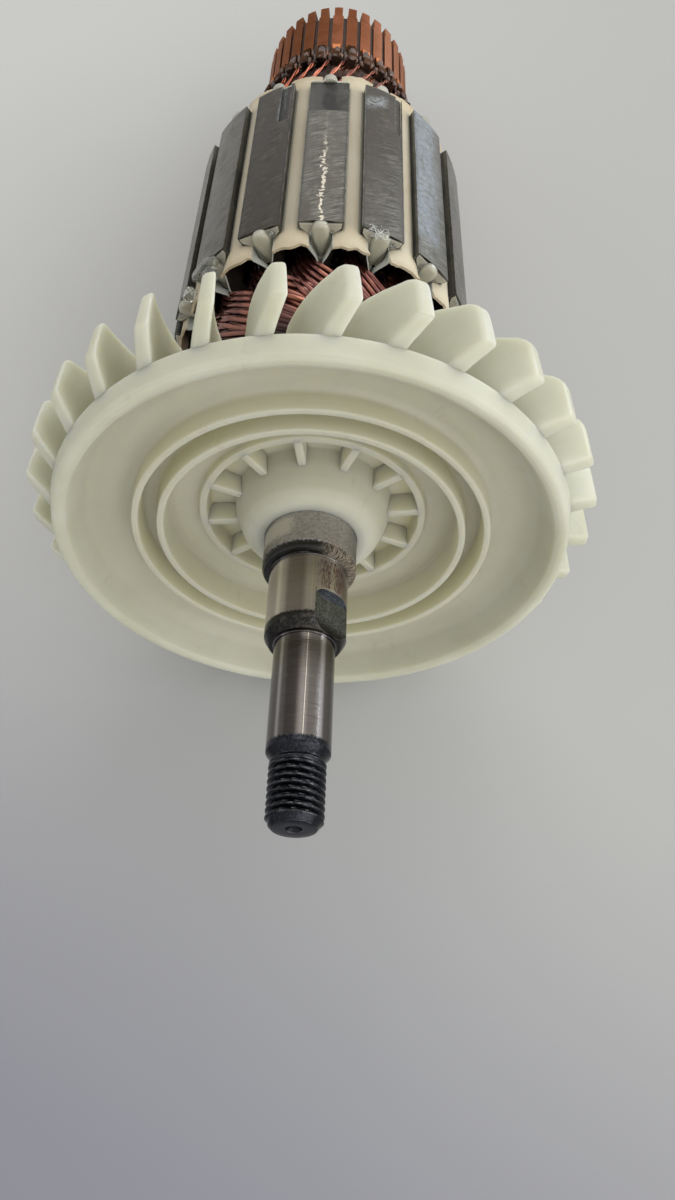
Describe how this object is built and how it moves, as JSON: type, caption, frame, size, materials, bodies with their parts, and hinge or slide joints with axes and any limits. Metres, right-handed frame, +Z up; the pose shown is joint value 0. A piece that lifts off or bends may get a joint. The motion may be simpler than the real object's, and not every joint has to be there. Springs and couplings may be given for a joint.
{
  "type": "motor armature",
  "caption": "Armature of a hand power tool's motor: stepped steel shaft, bladed cooling fan, slotted core wound with wire, and a hooked commutator.",
  "frame": {"origin": "centre of the bounding box at floor level, with the armature lying as it comes to rest on two fan blades and the commutator's rear rim", "axes": "+Z up; +Y from the threaded drive end towards the commutator and the rear journal, 11.1 degrees off the shaft's axis because the armature lies tilted; +X to the right"},
  "size_m": [0.088, 0.2048, 0.087],
  "materials": {
    "steel": "ground seats, dark oxide elsewhere",
    "nylon": "moulded, slightly translucent",
    "laminations": "turned, with a thin lacquer",
    "tube": "moulded",
    "end_plate": "translucent",
    "film": "thin film",
    "enamelled_wire": "enamel and varnish",
    "bush": "turned",
    "moulding": "phenolic",
    "paper": "pressed paper",
    "copper": "turned copper, tarnished"
  },
  "bodies": {
    "root": {"shaft": "steel", "fan": "nylon", "core": "laminations", "sleeve": "tube", "insulator_fan": "end_plate", "insulator_comm": "end_plate", "slot_liners": "film", "winding": "enamelled_wire", "comm_bush": "bush", "comm_moulding": "moulding", "wedge_01": "paper", "wedge_02": "paper", "wedge_03": "paper", "wedge_04": "paper", "wedge_05": "paper", "wedge_06": "paper", "wedge_07": "paper", "wedge_08": "paper", "wedge_09": "paper", "wedge_10": "paper", "wedge_11": "paper", "wedge_12": "paper", "wedge_13": "paper", "wedge_14": "paper", "wedge_15": "paper", "wedge_16": "paper", "bar_01": "copper", "bar_02": "copper", "bar_03": "copper", "bar_04": "copper", "bar_05": "copper", "bar_06": "copper", "bar_07": "copper", "bar_08": "copper", "bar_09": "copper", "bar_10": "copper", "bar_11": "copper", "bar_12": "copper", "bar_13": "copper", "bar_14": "copper", "bar_15": "copper", "bar_16": "copper", "bar_17": "copper", "bar_18": "copper", "bar_19": "copper", "bar_20": "copper", "bar_21": "copper", "bar_22": "copper", "bar_23": "copper", "bar_24": "copper", "bar_25": "copper", "bar_26": "copper", "bar_27": "copper", "bar_28": "copper", "bar_29": "copper", "bar_30": "copper", "bar_31": "copper", "bar_32": "copper"}
  },
  "joints": []
}
